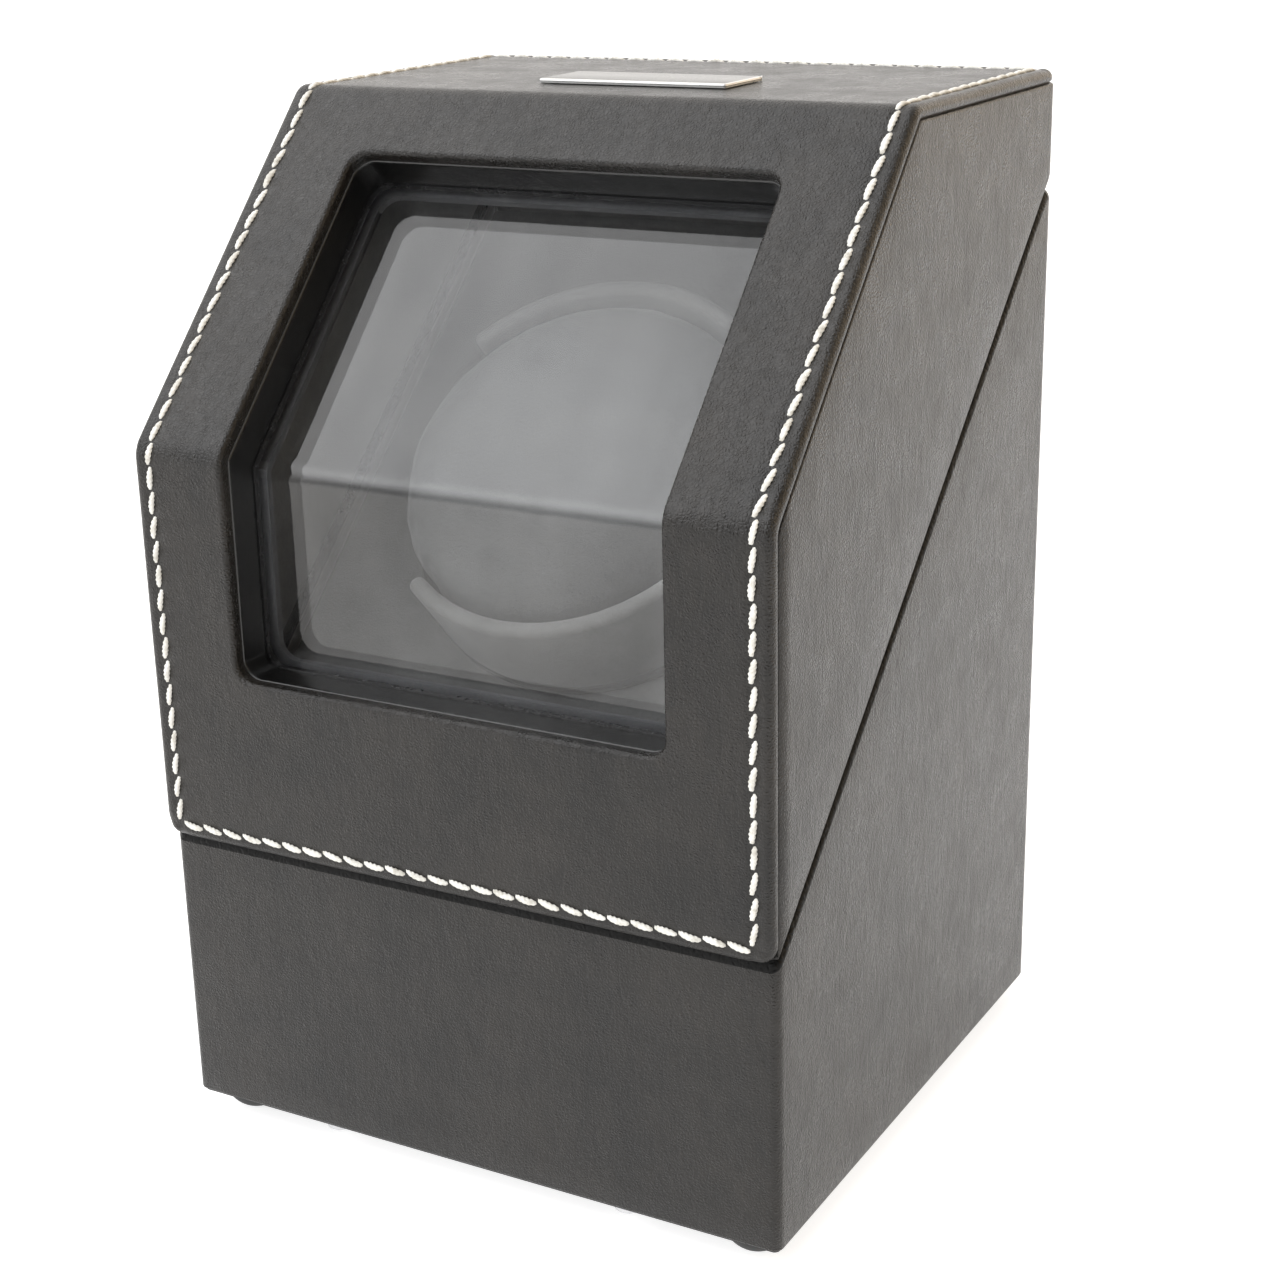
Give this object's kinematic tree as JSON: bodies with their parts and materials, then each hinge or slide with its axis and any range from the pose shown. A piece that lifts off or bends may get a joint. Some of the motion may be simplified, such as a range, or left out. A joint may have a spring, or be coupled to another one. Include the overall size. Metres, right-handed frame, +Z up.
{
  "type": "watch winder box",
  "caption": "Black leather watch winder box with a slanted hinged lid, a bent window, cream stitching and a motor-driven turntable that holds a round watch cushion.",
  "frame": {"origin": "middle of the overall box in plan, on the ground under the feet", "axes": "+Z up, -Y out of the front with the window, +X to the viewer's right when facing the front"},
  "size_m": [0.14, 0.1476, 0.2142],
  "materials": {
    "leather": "satin",
    "board": "matte",
    "black_plastic": "matte",
    "steel": "satin",
    "brass": "satin",
    "rubber": "matte",
    "suede": "matte",
    "cushion_leather": "satin",
    "circuit": "satin",
    "nylon": "satin",
    "thread": "matte",
    "window_trim": "satin",
    "clear_pane": "polished",
    "polished_plate": "polished"
  },
  "bodies": {
    "base": {"base_front_wall": "board", "base_side_walls": "board", "base_rear_wall": "board", "base_leather": "leather", "bottom_plate": "black_plastic", "bottom_screws": "steel", "rubber_feet": "rubber", "deck_panel": "board", "deck_lining": "suede", "shaft_bush": "brass", "motor_bracket": "steel", "bracket_spacers": "brass", "bracket_screws": "steel", "motor_gearbox": "steel", "motor_can": "steel", "control_plate": "black_plastic", "control_plate_screws": "steel", "circuit_board": "circuit", "board_standoffs": "brass", "mode_switch": "black_plastic", "rocker_frame": "black_plastic", "power_inlet": "black_plastic", "base_hinge_leaves": "brass", "base_hinge_screws": "brass", "hinge_pins": "steel", "base_magnets": "steel"},
    "lid": {"lid_side_walls": "board", "lid_window_wall": "board", "lid_top_board": "board", "lid_rear_board": "board", "lid_leather": "leather", "lid_lining": "suede", "front_panel": "leather", "panel_stitching": "thread", "inner_frame": "window_trim", "window_pane": "clear_pane", "window_backing": "suede", "nameplate": "polished_plate", "lid_hinge_leaves": "brass", "lid_hinge_screws": "brass", "lid_magnets": "steel"},
    "turntable": {"turntable_disc": "black_plastic", "cup_walls": "suede", "cup_pad": "suede", "turntable_shaft": "steel", "driven_gear": "nylon", "retaining_ring": "steel", "hub_screws": "steel"},
    "pinion": {"drive_pinion": "brass"},
    "cushion": {"cushion": "cushion_leather"},
    "mode_knob": {"mode_knob": "black_plastic"},
    "power_rocker": {"power_rocker": "black_plastic"}
  },
  "joints": [
    {"name": "lid_hinge", "type": "hinge", "parent": "base", "child": "lid", "pos_m": [0, 0.06235, 0.1905], "axis": [-1, 0, 0], "range_deg": [0, 115]},
    {"name": "turntable_spin", "type": "hinge", "parent": "base", "child": "turntable", "pos_m": [0, -0.00585, 0.1275], "axis": [0, -0.6866, 0.727], "continuous": true},
    {"name": "pinion_spin", "type": "hinge", "parent": "base", "child": "pinion", "pos_m": [0, -0.02686, 0.10766], "axis": [0, -0.6866, 0.727], "continuous": true},
    {"name": "cushion_lift", "type": "slide", "parent": "turntable", "child": "cushion", "axis": [0, -0.6866, 0.727], "range_m": [0, 0.008]},
    {"name": "power_rocker_tilt", "type": "hinge", "parent": "base", "child": "power_rocker", "pos_m": [0, 0.06585, 0.0395], "axis": [1, 0, 0], "range_deg": [0, 20]},
    {"name": "mode_knob_turn", "type": "hinge", "parent": "base", "child": "mode_knob", "pos_m": [-0.026, 0.06585, 0.0395], "axis": [0, -1, 0], "range_deg": [0, 90]}
  ],
  "couplings": [
    {"joint": "pinion_spin", "follows": "turntable_spin", "ratio": -5}
  ]
}
